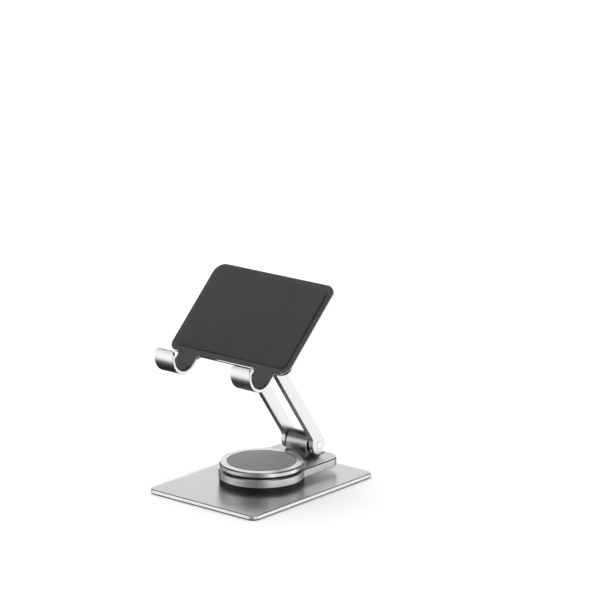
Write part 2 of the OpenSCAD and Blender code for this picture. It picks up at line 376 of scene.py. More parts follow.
def even_shading(piece: bpy.types.Object) -> None:
    """Lets large flat faces set the shading where they meet small curved ones.

    Args:
        piece: The piece, its sharp edges already marked.
    """
    step = piece.modifiers.new("even", "WEIGHTED_NORMAL")
    step.keep_sharp = True
    settle(piece)


def drill(radius: float, half: float) -> bmesh.types.BMesh:
    """Straight drill, long enough for a part of that half width."""
    return turned(((radius, -2 * half), (radius, 2 * half)), steps=DRILL_STEPS)


def bore(
    piece: bpy.types.Object,
    tool: bmesh.types.BMesh,
    hinge: Vector,
    finishes: Sequence[bpy.types.Material],
) -> None:
    """Takes the solid of a drill, drawn along Z, out of a piece, across the stand at a hinge."""
    tool.transform(Matrix.Translation(hinge) @ ACROSS)
    work(piece, make_piece("drill", tool, finishes), Cut.TAKE_AWAY)


# ---------- finishes ----------


class Recipe:
    """Node graph of one material, started from its principled shader."""

    def __init__(self, name: str) -> None:
        """Starts an empty material.

        Args:
            name: The material's name.
        """
        self.material = bpy.data.materials.new(name)
        self.material.use_nodes = True
        self.nodes = self.material.node_tree.nodes
        self.links = self.material.node_tree.links
        self.shader = self.nodes["Principled BSDF"]
        self.place = self.add("ShaderNodeTexCoord").outputs["Object"]

    def add(self, kind: str, **settings: object) -> bpy.types.Node:
        """Adds a node.

        Args:
            kind: The node's type.
            settings: Its properties.

        Returns:
            The new node.
        """
        node = self.nodes.new(kind)
        for key, value in settings.items():
            setattr(node, key, value)
        return node

    def feed(self, value: object, socket: bpy.types.NodeSocket) -> None:
        """Sets a socket to a value or links an output to it.

        Args:
            value: A number, a colour or another node's output.
            socket: The socket that takes it.
        """
        if isinstance(value, bpy.types.NodeSocket):
            self.links.new(value, socket)
        else:
            socket.default_value = value

    def maths(
        self, operation: str, first: object, second: object = 0.0
    ) -> bpy.types.NodeSocket:
        """Result of one sum.

        Args:
            operation: The sum.
            first: Its first number or output.
            second: Its second number or output.

        Returns:
            The sum's output.
        """
        node = self.add("ShaderNodeMath", operation=operation)
        self.feed(first, node.inputs[0])
        self.feed(second, node.inputs[1])
        return node.outputs[0]

    def noise(
        self, size: float, detail: float = 2.0, stretch: Sequence[float] | None = None
    ) -> bpy.types.NodeSocket:
        """Cloudy pattern.

        Args:
            size: Size of its features, in metres.
            detail: How many finer layers it has.
            stretch: How much finer it is along each axis.

        Returns:
            The pattern, from 0 to 1.
        """
        node = self.add("ShaderNodeTexNoise")
        node.inputs["Scale"].default_value = 1 / size
        node.inputs["Detail"].default_value = detail
        place = self.place
        if stretch is not None:
            mapping = self.add("ShaderNodeMapping")
            mapping.inputs["Scale"].default_value = stretch
            self.links.new(place, mapping.inputs["Vector"])
            place = mapping.outputs["Vector"]
        self.links.new(place, node.inputs["Vector"])
        return node.outputs["Fac"]

    def lines(
        self, value: bpy.types.NodeSocket, width: float, detail: float = 2.0
    ) -> bpy.types.NodeSocket:
        """Uneven lines that repeat along a value.

        Args:
            value: Distance, in metres, across the lines.
            width: Width of a line, in metres.
            detail: How many finer layers they have.

        Returns:
            The pattern, from 0 to 1.
        """
        node = self.add("ShaderNodeTexNoise", noise_dimensions="1D")
        node.inputs["Scale"].default_value = 1.0
        node.inputs["Detail"].default_value = detail
        self.links.new(self.maths("MULTIPLY", value, 1 / width), node.inputs["W"])
        return node.outputs["Fac"]

    def remap(
        self, value: bpy.types.NodeSocket, span: Span, start: float = 0.0, end: float = 1.0
    ) -> bpy.types.NodeSocket:
        """Stretches a span of values to start..end, and holds the ends.

        Args:
            value: The output that is stretched.
            span: The values that become start and end.
            start: The result at the span's low end and below it.
            end: The result at its high end and above it.

        Returns:
            The stretched value.
        """
        node = self.add("ShaderNodeMapRange")
        self.feed(value, node.inputs["Value"])
        node.inputs["From Min"].default_value, node.inputs["From Max"].default_value = span
        node.inputs["To Min"].default_value = start
        node.inputs["To Max"].default_value = end
        return node.outputs["Result"]

    def vary(
        self, pattern: bpy.types.NodeSocket, span: Span, middle: float, stray: Span
    ) -> bpy.types.NodeSocket:
        """Value that strays below and above a middle one along a span of a pattern."""
        return self.remap(pattern, span, middle + stray[0], middle + stray[1])

    def blend(self, amount: object, first: object, second: object) -> bpy.types.NodeSocket:
        """Mixes two colours.

        Args:
            amount: Share of the second colour, a number or an output.
            first: The first colour or output.
            second: The second colour or output.

        Returns:
            The mixed colour.
        """
        node = self.add("ShaderNodeMix", data_type="RGBA")
        self.feed(amount, node.inputs[0])
        self.feed(first, node.inputs[MIX_FIRST])
        self.feed(second, node.inputs[MIX_SECOND])
        return node.outputs[MIX_RESULT]

    def bump(self, height: bpy.types.NodeSocket, depth: float) -> bpy.types.NodeSocket:
        """Relief of a pattern.

        Args:
            height: The pattern.
            depth: Depth of the relief, in metres.

        Returns:
            The bent normal.
        """
        node = self.add("ShaderNodeBump")
        node.inputs["Strength"].default_value = 1.0
        node.inputs["Distance"].default_value = depth
        self.links.new(height, node.inputs["Height"])
        return node.outputs["Normal"]

    def distance_from(self, point: Vector, along: Vector) -> bpy.types.NodeSocket:
        """Distance from a line, plus the distance along it, for lines turned round it.

        Args:
            point: A point on the line.
            along: The line's direction, a unit vector along X or Z.

        Returns:
            The two distances' sum, in metres.
        """
        moved = self.add("ShaderNodeVectorMath", operation="SUBTRACT")
        self.links.new(self.place, moved.inputs[0])
        moved.inputs[1].default_value = point
        flat = self.add("ShaderNodeVectorMath", operation="MULTIPLY")
        self.links.new(moved.outputs[0], flat.inputs[0])
        flat.inputs[1].default_value = Vector((1, 1, 1)) - along
        length = self.add("ShaderNodeVectorMath", operation="LENGTH")
        self.links.new(flat.outputs[0], length.inputs[0])
        shadow = self.add("ShaderNodeVectorMath", operation="DOT_PRODUCT")
        self.links.new(moved.outputs[0], shadow.inputs[0])
        shadow.inputs[1].default_value = along
        return self.maths("ADD", length.outputs["Value"], shadow.outputs["Value"])


def grey(level: float) -> tuple[float, float, float, float]:
    """Opaque neutral colour of that level."""
    return (level, level, level, 1.0)


@dataclass(frozen=True)
class BlastedAluminium:
    """Bead-blasted and anodised aluminium: a fine even grain with faint handling marks."""

    name: str = "blasted_aluminium"
    tone: float = 0.84
    roughness: float = 0.3
    cloud: float = 22 * MM
    cloud_dim: float = 0.975
    grain: float = 0.22 * MM
    relief: float = 0.0012 * MM
    pits: Span = (0.2, 0.42)
    pit_dim: float = 0.93
    sparkle: float = 0.03
    smear: float = 9 * MM
    smear_stretch: Sequence[float] = (1.0, 0.35, 0.6)
    smear_span: Span = (0.56, 0.74)
    smear_polish: float = 0.035

    def make(self) -> bpy.types.Material:
        """Builds the material.

        Returns:
            The material.
        """
        recipe = Recipe(self.name)
        grain = recipe.noise(self.grain, detail=3.0)
        cloud = recipe.noise(self.cloud, detail=3.0)
        smears = recipe.noise(self.smear, detail=4.0, stretch=self.smear_stretch)
        shader = recipe.shader
        shader.inputs["Metallic"].default_value = 1.0
        dim, full = grey(self.tone * self.cloud_dim), grey(self.tone)
        mottled = recipe.blend(recipe.remap(cloud, MIDDLE), dim, full)
        pits = recipe.remap(grain, self.pits)
        colour = recipe.blend(pits, grey(self.tone * self.pit_dim), mottled)
        recipe.feed(colour, shader.inputs["Base Color"])
        polish = recipe.remap(smears, self.smear_span, 0.0, -self.smear_polish)
        sparkle = recipe.remap(grain, WIDE, -self.sparkle, self.sparkle)
        rough = recipe.maths("ADD", recipe.maths("ADD", polish, sparkle), self.roughness)
        recipe.feed(rough, shader.inputs["Roughness"])
        recipe.feed(recipe.bump(grain, self.relief), shader.inputs["Normal"])
        return recipe.material


@dataclass(frozen=True)
class CutAluminium:
    """Edge cut bright through the anodising, with the cutter's fine marks and a few nicks."""

    name: str = "bright_cut_edge"
    tone: float = 0.9
    roughness: float = 0.14
    stray: Span = (-0.03, 0.04)
    mark: float = 0.12 * MM
    relief: float = 0.0008 * MM
    nick: float = 1.1 * MM
    nick_span: Span = (0.68, 0.74)
    nick_dim: float = 0.8
    nick_roughness: float = 0.16

    def make(self) -> bpy.types.Material:
        """Builds the material.

        Returns:
            The material.
        """
        recipe = Recipe(self.name)
        marks = recipe.noise(self.mark)
        nicks = recipe.remap(recipe.noise(self.nick, detail=3.0), self.nick_span)
        shader = recipe.shader
        shader.inputs["Metallic"].default_value = 1.0
        colour = recipe.blend(nicks, grey(self.tone), grey(self.tone * self.nick_dim))
        recipe.feed(colour, shader.inputs["Base Color"])
        worn = recipe.maths("MULTIPLY", nicks, self.nick_roughness)
        marked = recipe.vary(marks, WIDE, self.roughness, self.stray)
        recipe.feed(recipe.maths("ADD", worn, marked), shader.inputs["Roughness"])
        recipe.feed(recipe.bump(marks, self.relief), shader.inputs["Normal"])
        return recipe.material


@dataclass(frozen=True)
class TurnedMetal:
    """Metal turned on a lathe: fine uneven lines round an axis."""

    name: str
    point: Vector
    along: Vector
    tone: float = 0.8
    roughness: float = 0.2
    stray: Span = (-0.02, 0.03)
    cloud: float = 15 * MM
    line: float = 0.09 * MM
    broad: float = 14
    line_dim: float = 0.95
    line_roughness: float = 0.02
    relief: float = 0.0008 * MM

    def make(self) -> bpy.types.Material:
        """Builds the material.

        Returns:
            The material.
        """
        recipe = Recipe(self.name)
        across = recipe.distance_from(self.point, self.along)
        fine = recipe.lines(across, self.line)
        broad = recipe.lines(across, self.line * self.broad, detail=1.0)
        cloud = recipe.noise(self.cloud, detail=3.0)
        shader = recipe.shader
        shader.inputs["Metallic"].default_value = 1.0
        streaks = recipe.maths("MULTIPLY", recipe.maths("ADD", fine, broad), 0.5)
        dim, full = grey(self.tone * self.line_dim), grey(self.tone)
        colour = recipe.blend(recipe.remap(streaks, MIDDLE), dim, full)
        recipe.feed(colour, shader.inputs["Base Color"])
        rough = recipe.vary(cloud, MIDDLE, self.roughness, self.stray)
        lined = recipe.remap(fine, WIDE, -self.line_roughness, self.line_roughness)
        recipe.feed(recipe.maths("ADD", rough, lined), shader.inputs["Roughness"])
        recipe.feed(recipe.bump(fine, self.relief), shader.inputs["Normal"])
        return recipe.material


@dataclass(frozen=True)
class Silicone:
    """Matt moulded silicone with a fine skin texture and a trace of dust."""

    name: str
    tone: float
    roughness: float = 0.62
    stray: Span = (-0.05, 0.06)
    specular: float = 0.38
    cloud: float = 14 * MM
    cloud_tones: Span = (0.93, 1.05)
    texture: float = 0.35 * MM
    relief: float = 0.012 * MM
    speck: float = 0.5 * MM
    speck_span: Span = (0.7, 0.78)
    dust: float = 0.25
    dust_gain: float = 1.4
    dust_lift: float = 0.02

    def make(self) -> bpy.types.Material:
        """Builds the material.

        Returns:
            The material.
        """
        recipe = Recipe(self.name)
        texture = recipe.noise(self.texture, detail=3.0)
        cloud = recipe.noise(self.cloud, detail=4.0)
        specks = recipe.remap(recipe.noise(self.speck, detail=1.0), self.speck_span, 0.0, self.dust)
        shader = recipe.shader
        shader.inputs["Specular IOR Level"].default_value = self.specular
        dark, light = (grey(self.tone * share) for share in self.cloud_tones)
        even = recipe.blend(recipe.remap(cloud, WIDE), dark, light)
        dusty = grey(self.tone * self.dust_gain + self.dust_lift)
        recipe.feed(recipe.blend(specks, even, dusty), shader.inputs["Base Color"])
        rough = recipe.vary(cloud, WIDE, self.roughness, self.stray)
        recipe.feed(rough, shader.inputs["Roughness"])
        recipe.feed(recipe.bump(texture, self.relief), shader.inputs["Normal"])
        return recipe.material


@dataclass(frozen=True)
class BlackAcetal:
    """Black machined plastic with a low sheen and fine turned lines."""

    name: str = "black_acetal"
    tone: float = 0.014
    roughness: float = 0.36
    stray: Span = (-0.05, 0.07)
    cloud: float = 6 * MM
    cloud_tones: Span = (0.8, 1.3)
    line: float = 0.12 * MM
    relief: float = 0.002 * MM

    def make(self) -> bpy.types.Material:
        """Builds the material.

        Returns:
            The material.
        """
        recipe = Recipe(self.name)
        lines = recipe.lines(recipe.distance_from(ORIGIN, UPRIGHT), self.line)
        cloud = recipe.noise(self.cloud, detail=3.0)
        shader = recipe.shader
        dark, light = (grey(self.tone * share) for share in self.cloud_tones)
        recipe.feed(recipe.blend(cloud, dark, light), shader.inputs["Base Color"])
        rough = recipe.vary(lines, WIDE, self.roughness, self.stray)
        recipe.feed(rough, shader.inputs["Roughness"])
        recipe.feed(recipe.bump(lines, self.relief), shader.inputs["Normal"])
        return recipe.material


# ---------- the stand ----------


@dataclass
class Datum:
    """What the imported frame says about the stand's places."""

    frame: dict
    knee: Vector = field(init=False)
    head: Vector = field(init=False)
    cradle: Matrix = field(init=False)
    face: float = field(init=False)

    def __post_init__(self) -> None:
        """Reads the hinge axes and the cradle's own frame."""
        axes = {joint["name"]: Vector(joint["pos_m"]) for joint in self.frame["joints"]}
        self.knee, self.head = axes["lower_hinge"], axes["upper_hinge"]
        mounts = {mount["name"]: mount for mount in self.frame["record"]["mounts"]}
        normal = Vector(mounts["rest_face"]["axis"])
        tilt = math.atan2(-normal.y, normal.z)
        self.cradle = Matrix.Translation(self.head) @ Matrix.Rotation(tilt, 4, "X")
        self.face = (Vector(mounts["rest_face"]["pos_m"]) - self.head).dot(normal)

    def node(self, name: str) -> bpy.types.Object:
        """The frame's object of that name."""
        return self.frame["nodes"][name]


@dataclass
class Finishes:
    """Every finish of the stand, made once."""

    datum: Datum
    made: dict[str, bpy.types.Material] = field(default_factory=dict)

    def __post_init__(self) -> None:
        """Makes the materials."""
        recipes = (
            BlastedAluminium(),
            BlastedAluminium("turntable_aluminium", roughness=0.33),
            # Darker copy of the blasted aluminium for the knuckle: painted shade standing in for
            # the dark tablet it would mirror
            BlastedAluminium("knuckle_painted_shade_aluminium", tone=0.52, roughness=0.24),
            # Still darker copy for the neck and ramp under the knuckle: painted shade of the recess
            BlastedAluminium("neck_painted_shade_aluminium", tone=0.43),
            CutAluminium(),
            TurnedMetal("turned_aluminium", ORIGIN, UPRIGHT),
            TurnedMetal("knee_pin_steel", self.datum.knee, SIDEWAYS, tone=0.86),
            TurnedMetal("head_pin_steel", self.datum.head, SIDEWAYS, tone=0.86),
            TurnedMetal("hub_steel", ORIGIN, UPRIGHT, tone=0.66, roughness=0.3),
            Silicone("grey_silicone", tone=0.265),
            Silicone("dark_silicone", tone=0.045),
            BlackAcetal(),
        )
        for recipe in recipes:
            self.made[recipe.name] = recipe.make()

    def pair(self, main: str, edge: str = "bright_cut_edge") -> list[bpy.types.Material]:
        """A piece's main finish and its edge finish."""
        return [self.made[main], self.made[edge]]

    def dress(self, node: bpy.types.Object, name: str) -> None:
        """Gives one of the frame's nodes one finish all over.

        Args:
            node: The node, whose shape stays.
            name: The finish's name.
        """
        node.data.materials.clear()
        node.data.materials.append(self.made[name])
        LOG.info("%s keeps its shape and takes %s", node.name, name)


def install(piece: bpy.types.Object, body: str, slot: Slot, *nodes: str) -> None:
    """Puts a finished piece in the stand.

    Args:
        piece: The piece, already in place.
        body: The body it moves with.
        slot: The record's slot for the piece; not used.
        nodes: The frame's nodes that it stands for.
    """
    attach(piece, body)
    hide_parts(*nodes)
    LOG.info("%s: %d faces, for %s", piece.name, len(piece.data.polygons), ", ".join(nodes))


@dataclass
class Base:
    """Base plate, its anti-slip sheet, and the fixed rings and cap of the turntable."""

    datum: Datum
    finishes: Finishes
    plate_corner: float = 5 * MM
    plate_bevel: float = 0.4 * MM
    cap_foot_bevel: float = 0.4 * MM
    cap_bevel: float = 0.8 * MM
    rim_width: float = 5.1 * MM
    rim_depth: float = 1 * MM
    rim_bevel: float = 0.15 * MM
    pad_rounding: float = 0.3 * MM
    ring_clearance: float = 2 * MM
    ring_bevel: float = 0.3 * MM
    groove: float = 0.35 * MM
    groove_places: Span = (0.36, 0.72)

    def build(self) -> None:
        """Makes and dresses every piece of the base."""
        self.make_plate()
        self.make_bearing_ring()
        self.make_cap()
        self.make_pad()
        self.finishes.dress(self.datum.node("base_sheet"), "dark_silicone")
        self.finishes.dress(self.datum.node("slip_ring"), "black_acetal")
        for name in ("hub", "hub_screws", "ring_screws", "cap_screws", "disc_spring"):
            self.finishes.dress(self.datum.node(name), "hub_steel")

    def make_plate(self) -> None:
        """Makes the flat plate with its bright bevels."""
        low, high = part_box("base_plate")
        outline = round_rectangle(low.xy, high.xy, self.plate_corner)
        mesh = bevelled_plate(outline, low.z, high.z, self.plate_bevel)
        piece = make_piece("plate", mesh, self.finishes.pair("blasted_aluminium"))
        install(piece, "base", Slot.SATIN, "base_plate")

    def make_bearing_ring(self) -> None:
        """Makes the black ring with two grooves round it."""
        low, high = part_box("bearing_ring")
        radius, inner = high.x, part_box("hub")[1].x + self.ring_clearance
        half = self.groove / 2
        profile = [(inner, low.z), (radius, low.z)]
        for share in self.groove_places:
            middle = low.z + (high.z - low.z) * share
            profile += [(radius, middle - half), (radius - half, middle - half / 2)]
            profile += [(radius - half, middle + half / 2), (radius, middle + half)]
        profile += [(radius, high.z - self.ring_bevel), (radius - self.ring_bevel, high.z)]
        profile += [(inner, high.z)]
        mesh = turned(profile, closed=True)
        piece = make_piece("bearing", mesh, self.finishes.pair("black_acetal", "black_acetal"))
        install(piece, "base", Slot.ACETAL, "bearing_ring")

    def make_cap(self) -> None:
        """Makes the fixed cap with its bevelled rim and the recess for the pad."""
        low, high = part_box("cap")
        radius, inner = high.x, high.x - self.rim_width
        profile = (
            (radius - self.cap_foot_bevel, low.z),
            (radius, low.z + self.cap_foot_bevel),
            (radius, high.z - self.cap_bevel),
            (radius - self.cap_bevel, high.z),
            (inner + self.rim_bevel, high.z),
            (inner, high.z - self.rim_bevel),
            (inner, high.z - self.rim_depth),
        )
        bands = (Surface.EDGE, Surface.MAIN, Surface.EDGE, Surface.MAIN, Surface.EDGE)
        mesh = turned(profile, bands)
        piece = make_piece("rim_cap", mesh, self.finishes.pair("turned_aluminium"))
        install(piece, "base", Slot.TURNED, "cap")

    def make_pad(self) -> None:
        """Makes the round silicone pad."""
        low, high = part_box("cap_pad")
        outline = arc(Vector((0, 0)), high.x, 0, 360)[:-1]
        mesh = soft_sheet(outline, low.z, high.z, self.pad_rounding)
        piece = make_piece("round_pad", mesh, self.finishes.pair("grey_silicone"))
        install(piece, "base", Slot.GREY_SILICONE, "cap_pad")


@dataclass
class Turntable:
    """Turning disc with its tab, and the hinge knuckle on a coved neck."""

    datum: Datum
    finishes: Finishes
    disc_radius: float = 28.2 * MM
    disc_height: float = 5.7 * MM
    tab_width: float = 49.2 * MM
    tab_corner: float = 11 * MM
    bevel: float = 0.6 * MM
    hub_hole: float = 10.55 * MM
    # Half the width of the knuckle and its neck
    half: float = 8.6 * MM
    radius: float = 7.2 * MM
    # From the hinge axis down to the lip, and the lip's points, inwards and up from its corner
    lip: float = 4.2 * MM
    lip_roll: Sequence[Span] = ((0, 0.6 * MM), (0.2 * MM, 0.2 * MM), (0.55 * MM, 0))
    # Least lean of a face that counts as part of the rolled lip
    lip_slant: float = 0.2
    knuckle_bevel: float = 0.25 * MM
    pin_bore: float = 4.5 * MM
    # From the hinge axis to the neck's front and back
    front: float = 6.6 * MM
    back: float = 6.8 * MM
    neck_corner: float = 0.45 * MM
    # How far joined parts run into each other
    sink: float = 0.4 * MM
    cove: float = 3 * MM
    cove_steps: int = 12
    ramp_start: float = 27 * MM
    ramp_radius: float = 15 * MM
    ramp_overlap: float = 1 * MM
    ramp_steps: int = 24
    flare_steps: int = 8

    def build(self) -> None:
        """Makes and dresses every piece of the turntable."""
        finishes = self.finishes.pair("turntable_aluminium")
        # The knuckle, neck and ramp take darker copies of the aluminium, which are painted shade
        finishes += self.finishes.pair("knuckle_painted_shade_aluminium", "neck_painted_shade_aluminium")
        piece = make_piece("turning_disc", self.disc(), finishes)
        parts = (
            (self.neck(), Surface.NECK_PAINTED_SHADE),
            (self.ramp(), Surface.NECK_PAINTED_SHADE),
            (self.knuckle(), Surface.KNUCKLE_PAINTED_SHADE),
        )
        for part, surface in parts:
            for face in part.faces:
                if face.material_index == Surface.MAIN.value:
                    face.material_index = surface.value
            work(piece, make_piece("part", part, finishes), Cut.ADD)
        bore(piece, drill(self.pin_bore, self.half), self.datum.knee, finishes)
        even_shading(piece)
        install(piece, "table", Slot.TURNED, "turntable")
        for name in ("hub_bush", "knee_bushes"):
            self.finishes.dress(self.datum.node(name), "black_acetal")
        self.finishes.dress(self.datum.node("knee_clip"), "hub_steel")

    @property
    def top(self) -> float:
        """Height of the disc's top."""
        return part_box("turntable")[0].z + self.disc_height

    def disc(self) -> bmesh.types.BMesh:
        """Disc and tab in one outline, with the hub's hole through them.

        Returns:
            The new mesh.
        """
        low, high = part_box("turntable")
        side, back = self.tab_width / 2, high.y
        meet = math.degrees(math.acos(side / self.disc_radius))
        corner = self.tab_corner
        tab = [(side, 0, 0), (side, back, corner), (-side, back, corner), (-side, 0, 0)]
        outline = arc(Vector((0, 0)), self.disc_radius, 180 - meet, 360 + meet)
        outline += round_corners(tab)[1:-1]
        hole = [p.normalized() * self.hub_hole for p in outline]
        narrow = inset(outline, self.bevel)
        rings = [
            lay(hole, low.z),
            lay(narrow, low.z),
            lay(outline, low.z + self.bevel),
            lay(outline, self.top - self.bevel),
            lay(narrow, self.top),
            lay(hole, self.top),
        ]
        bands = (Surface.MAIN, Surface.EDGE, Surface.MAIN, Surface.EDGE)
        return skin(rings, bands, closed=True)

    def neck(self) -> bmesh.types.BMesh:
        """Neck that flares into the tab along a cove at its sides and back.

        Returns:
            The new mesh, sunk a little into the tab and the knuckle.
        """
        knee, foot = self.datum.knee, self.top
        levels = [(foot - self.sink, self.cove)]
        for i in range(self.cove_steps + 1):
            angle = math.pi / 2 * i / self.cove_steps
            height = foot + self.cove * (1 - math.cos(angle))
            levels.append((height, self.cove * (1 - math.sin(angle))))
        levels.append((knee.z - self.lip + self.sink, 0.0))
        low = Vector((-self.half, knee.y - self.front))
        high = Vector((self.half, knee.y + self.back))
        rings = []
        for height, out in levels:
            flared = (low - Vector((out, 0)), high + Vector((out, out)))
            rings.append(lay(round_rectangle(*flared, self.neck_corner), height))
        return skin(rings)

    def ramp(self) -> bmesh.types.BMesh:
        """Hollow ramp from the neck's front down to the disc, flaring at its sides as it falls.

        Returns:
            The new mesh, sunk a little into the disc and the neck.
        """
        knee, foot = self.datum.knee, self.top
        back, rise = knee.y - self.front, knee.z - self.lip - self.sink - foot
        toe = back - math.sqrt(2 * self.ramp_radius * rise - rise * rise)
        length = back + self.ramp_overlap - self.ramp_start
        rings = []
        for i in range(self.ramp_steps + 1):
            y = self.ramp_start + length * i / self.ramp_steps
            run = min(y, back) - toe
            top = foot + self.ramp_radius - math.sqrt(self.ramp_radius**2 - run**2)
            side = []
            for j in range(self.flare_steps + 1):
                height = foot - self.sink + (top - foot + self.sink) * j / self.flare_steps
                over = self.cove - min(max(height - foot, 0.0), self.cove)
                flare = self.cove - math.sqrt(self.cove**2 - over**2)
                side.append((self.half + flare, height))
            section = side + [(-x, z) for x, z in reversed(side)]
            rings.append([Vector((x, y, z)) for x, z in section])
        return skin(rings)

    def knuckle(self) -> bmesh.types.BMesh:
        """Round knuckle with flat front and back faces down to its rolled lip.

        Returns:
            The new mesh, its bevels and lip in the edge finish.
        """
        outline = arc(Vector((0, 0)), self.radius, 0, 180)
        rolled = [(self.radius - inwards, up - self.lip) for inwards, up in self.lip_roll]
        outline += [Vector((-across, up)) for across, up in rolled]
        outline += [Vector((across, up)) for across, up in reversed(rolled)]
        mesh = bevelled_plate(outline, -self.half, self.half, self.knuckle_bevel)
        for face in mesh.faces:
            if face.normal.y < -self.lip_slant and abs(face.normal.x) > self.lip_slant:
                face.material_index = Surface.EDGE.value
        mesh.transform(Matrix.Translation(self.datum.knee) @ ACROSS)
        return mesh


@dataclass
class Arms:
    """Two arm plates and the axles that carry them."""

    datum: Datum
    finishes: Finishes
    # Radius of the round ends, and where the front edge runs between them
    eye: float = 6.5 * MM
    front: float = 2.5 * MM
    # Degrees round an end at which its arc turns into the front edge
    lean: float = 54.6
    blend: float = 5 * MM
    bevel: float = 0.35 * MM
    pin: float = 2.34 * MM
    hole_bevel: float = 0.1 * MM
    drill_over: float = 0.5 * MM

    def build(self) -> None:
        """Makes and dresses every piece of the arms."""
        for side in ("left", "right"):
            low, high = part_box(f"arm_{side}")
            self.make_plate(side, low.x, high.x)
        self.finishes.dress(self.datum.node("knee_axle"), "knee_pin_steel")
        self.finishes.dress(self.datum.node("head_axle"), "head_pin_steel")

    def make_plate(self, side: str, low: float, high: float) -> None:
        """Makes one arm plate.

        Args:
            side: left or right.
            low: Its lower face's place across the stand.
            high: Its upper face's place across the stand.
        """
        knee, head = self.datum.knee, self.datum.head
        run = (head - knee).length
        turn = math.atan2(head.z - knee.z, head.y - knee.y)
        finishes = self.finishes.pair("blasted_aluminium")
        mesh = bevelled_plate(self.outline(run), low, high, self.bevel)
        mesh.transform(Matrix.Translation(knee) @ Matrix.Rotation(turn, 4, "X") @ ACROSS)
        piece = make_piece(f"{side}_arm", mesh, finishes)
        for hinge in (knee, head):
            bore(piece, self.pin_drill(low, high), hinge, finishes)
        install(piece, "arms", Slot.SATIN, f"arm_{side}")

    def outline(self, run: float) -> list[Vector]:
        """Side outline: two round ends, a straight back edge and a front edge that steps in.

        Args:
            run: Distance between the two hinge axes.

        Returns:
            The outline's points, counter-clockwise.
        """
        lean = math.radians(self.lean)
        corner = (self.eye - self.front * math.sin(lean)) / math.cos(lean)
        near = arc(Vector((0, 0)), self.eye, self.lean, 270)
        far = arc(Vector((run, 0)), self.eye, -90, 180 - self.lean)
        points = [(p.x, p.y, 0.0) for p in near + far]
        points += [(run - corner, self.front, self.blend), (corner, self.front, self.blend)]
        return round_corners(points)

    def pin_drill(self, low: float, high: float) -> bmesh.types.BMesh:
        """Drill that opens a pin hole and bevels its two mouths.

        Args:
            low: The plate's lower face, across the stand.
            high: The plate's upper face, across the stand.

        Returns:
            The drill, along its own Z axis.
        """
        wide = self.pin + self.hole_bevel + self.drill_over
        profile = (
            (wide, low - self.drill_over),
            (self.pin, low + self.hole_bevel),
            (self.pin, high - self.hole_bevel),
            (wide, high + self.drill_over),
        )
        return turned(profile, (Surface.EDGE, Surface.MAIN, Surface.EDGE), steps=DRILL_STEPS)


